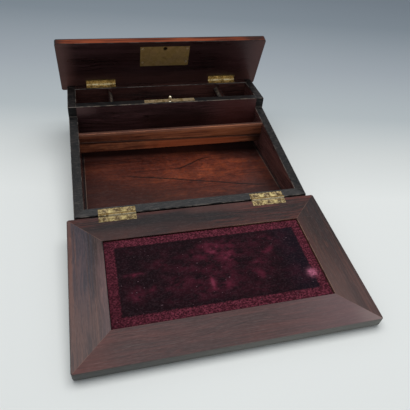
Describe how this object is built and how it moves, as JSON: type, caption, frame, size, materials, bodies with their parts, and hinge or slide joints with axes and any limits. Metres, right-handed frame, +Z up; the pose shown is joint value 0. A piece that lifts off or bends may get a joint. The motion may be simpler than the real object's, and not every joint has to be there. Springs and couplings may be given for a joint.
{
  "type": "writing slope",
  "caption": "Ebonised rosewood writing slope with a velvet-lined folding lid, a rear lid with a lock, a letter rack and a pen compartment.",
  "frame": {"origin": "centre of the case's underside, on the surface it stands on", "axes": "+Z up, +X to the writer's right, +Y from the front of the case to the back"},
  "size_m": [0.317, 0.4659, 0.1537],
  "materials": {
    "ebonised_rosewood": "ebonised, polished, worn at the arrises",
    "rosewood": "french polished",
    "dark_rosewood": "french polished",
    "worn_brass": "worn and tarnished",
    "bright_brass": "polished",
    "steel": "dull",
    "crimson_velvet": "velvet pile"
  },
  "bodies": {
    "case": {"back_wall": "ebonised_rosewood", "base_board": "rosewood", "case_hinge_screws": "worn_brass", "catch_stud": "bright_brass", "divider": "dark_rosewood", "front_left_case_leaf": "worn_brass", "front_left_pin": "worn_brass", "front_right_case_leaf": "worn_brass", "front_right_pin": "worn_brass", "front_wall": "ebonised_rosewood", "left_side": "ebonised_rosewood", "letter_board_lower": "rosewood", "letter_board_upper": "rosewood", "partition_left": "dark_rosewood", "partition_right": "dark_rosewood", "pen_tray": "dark_rosewood", "rear_left_case_leaf": "worn_brass", "rear_left_pin": "worn_brass", "rear_right_case_leaf": "worn_brass", "rear_right_pin": "worn_brass", "right_side": "ebonised_rosewood", "strike_plate": "bright_brass", "strike_screws": "bright_brass"},
    "slope_lid": {"front_left_lid_leaf": "worn_brass", "front_right_lid_leaf": "worn_brass", "lid_free_rail": "rosewood", "lid_hinge_rail": "rosewood", "lid_left_stile": "rosewood", "lid_panel": "ebonised_rosewood", "lid_right_stile": "rosewood", "slope_lid_screws": "worn_brass", "velvet_pad": "crimson_velvet"},
    "rear_lid": {"lock_case": "steel", "lock_plate": "bright_brass", "lock_screws": "bright_brass", "rear_left_lid_leaf": "worn_brass", "rear_lid_board": "dark_rosewood", "rear_lid_screws": "worn_brass", "rear_right_lid_leaf": "worn_brass"},
    "lock_bolt": {"lock_bolt": "steel"}
  },
  "joints": [
    {"name": "slope_lid_hinge", "type": "hinge", "parent": "case", "child": "slope_lid", "pos_m": [0, -0.1307, 0.03097], "axis": [1, 0, 0], "range_deg": [-176.36, 0]},
    {"name": "rear_lid_hinge", "type": "hinge", "parent": "case", "child": "rear_lid", "pos_m": [0, 0.1307, 0.07625], "axis": [1, 0, 0], "range_deg": [-23.7, 71.3]},
    {"name": "lock_bolt_slide", "type": "slide", "parent": "rear_lid", "child": "lock_bolt", "axis": [1, 0, 0], "range_m": [0, 0.0056]}
  ]
}
